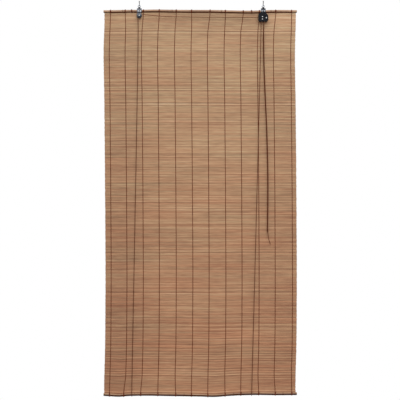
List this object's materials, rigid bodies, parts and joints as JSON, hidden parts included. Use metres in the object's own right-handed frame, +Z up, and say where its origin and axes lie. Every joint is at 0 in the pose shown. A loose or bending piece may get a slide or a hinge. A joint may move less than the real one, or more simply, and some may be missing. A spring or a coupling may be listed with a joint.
{
  "type": "bamboo roll-up blind",
  "caption": "Hanging window blind of bamboo slats between two canes, with hooks, a cord pulley, a cord lock and lift cords that roll it up from its foot.",
  "frame": {"origin": "point of the hanging line above the middle of the blind, at the height where the hooks bear on what they hang from", "axes": "+Z up, +X to the right as seen from the front, front towards -Y"},
  "size_m": [0.8, 0.0298, 1.6416],
  "materials": {
    "nickel": "bright nickel",
    "rivet_steel": "bright",
    "gunmetal": "satin black nickel",
    "nylon": "matte",
    "cam_steel": "zinc",
    "cane": "stained bamboo",
    "bamboo": "satin split bamboo",
    "string": "twisted brown thread",
    "cord": "braided brown cord"
  },
  "bodies": {
    "hooks": {"left_hook": "nickel", "right_hook": "nickel"},
    "blind": {"left_hanger": "nickel", "right_hanger": "nickel", "left_hanger_screws": "rivet_steel", "right_hanger_screws": "rivet_steel", "left_axle": "rivet_steel", "left_spacer_rivet": "rivet_steel", "lock_axle": "rivet_steel", "lock_spacer_rivet": "rivet_steel", "lock_cam_pivot": "rivet_steel", "left_spacer": "rivet_steel", "lock_spacer": "rivet_steel", "left_cheek": "gunmetal", "lock_plate": "gunmetal", "head_cane": "cane", "slat_mat": "bamboo", "front_strings": "string", "back_strings": "string", "head_lashings": "string", "left_cord_knot": "cord", "left_back_run": "cord", "left_front_run": "cord", "cross_cord": "cord", "right_cord_knot": "cord", "right_back_run": "cord", "right_front_run": "cord", "lock_cord": "cord", "left_pull_tail": "cord", "right_pull_tail": "cord"},
    "foot_rail": {"foot_cane": "cane", "foot_lashings": "string", "left_foot_loop": "cord", "right_foot_loop": "cord"},
    "left_wheel": {"left_wheel": "nylon"},
    "lock_wheel": {"lock_wheel": "nylon"},
    "lock_cam": {"lock_cam": "cam_steel"}
  },
  "joints": [
    {"name": "swing", "type": "hinge", "parent": "hooks", "child": "blind", "pos_m": [0, 0, -0.0138], "axis": [1, 0, 0], "range_deg": [-30, 30]},
    {"name": "raise", "type": "slide", "parent": "blind", "child": "foot_rail", "axis": [0, 0, 1], "range_m": [0, 1.45], "deforming": ["slat_mat", "front_strings", "back_strings", "left_front_run", "right_front_run", "left_back_run", "right_back_run"]},
    {"name": "left_wheel_turn", "type": "hinge", "parent": "blind", "child": "left_wheel", "pos_m": [-0.252, -0.00965, -0.0595], "axis": [0, 1, 0], "continuous": true},
    {"name": "lock_wheel_turn", "type": "hinge", "parent": "blind", "child": "lock_wheel", "pos_m": [0.257, -0.0117, -0.0755], "axis": [0, 1, 0], "continuous": true},
    {"name": "lock_cam_grip", "type": "hinge", "parent": "blind", "child": "lock_cam", "pos_m": [0.273, -0.0117, -0.07], "axis": [0, 1, 0], "range_deg": [0, 36]}
  ],
  "couplings": [
    {"joint": "left_wheel_turn", "follows": "raise", "rad_per_m": 333.33},
    {"joint": "lock_wheel_turn", "follows": "raise", "rad_per_m": 333.33}
  ]
}
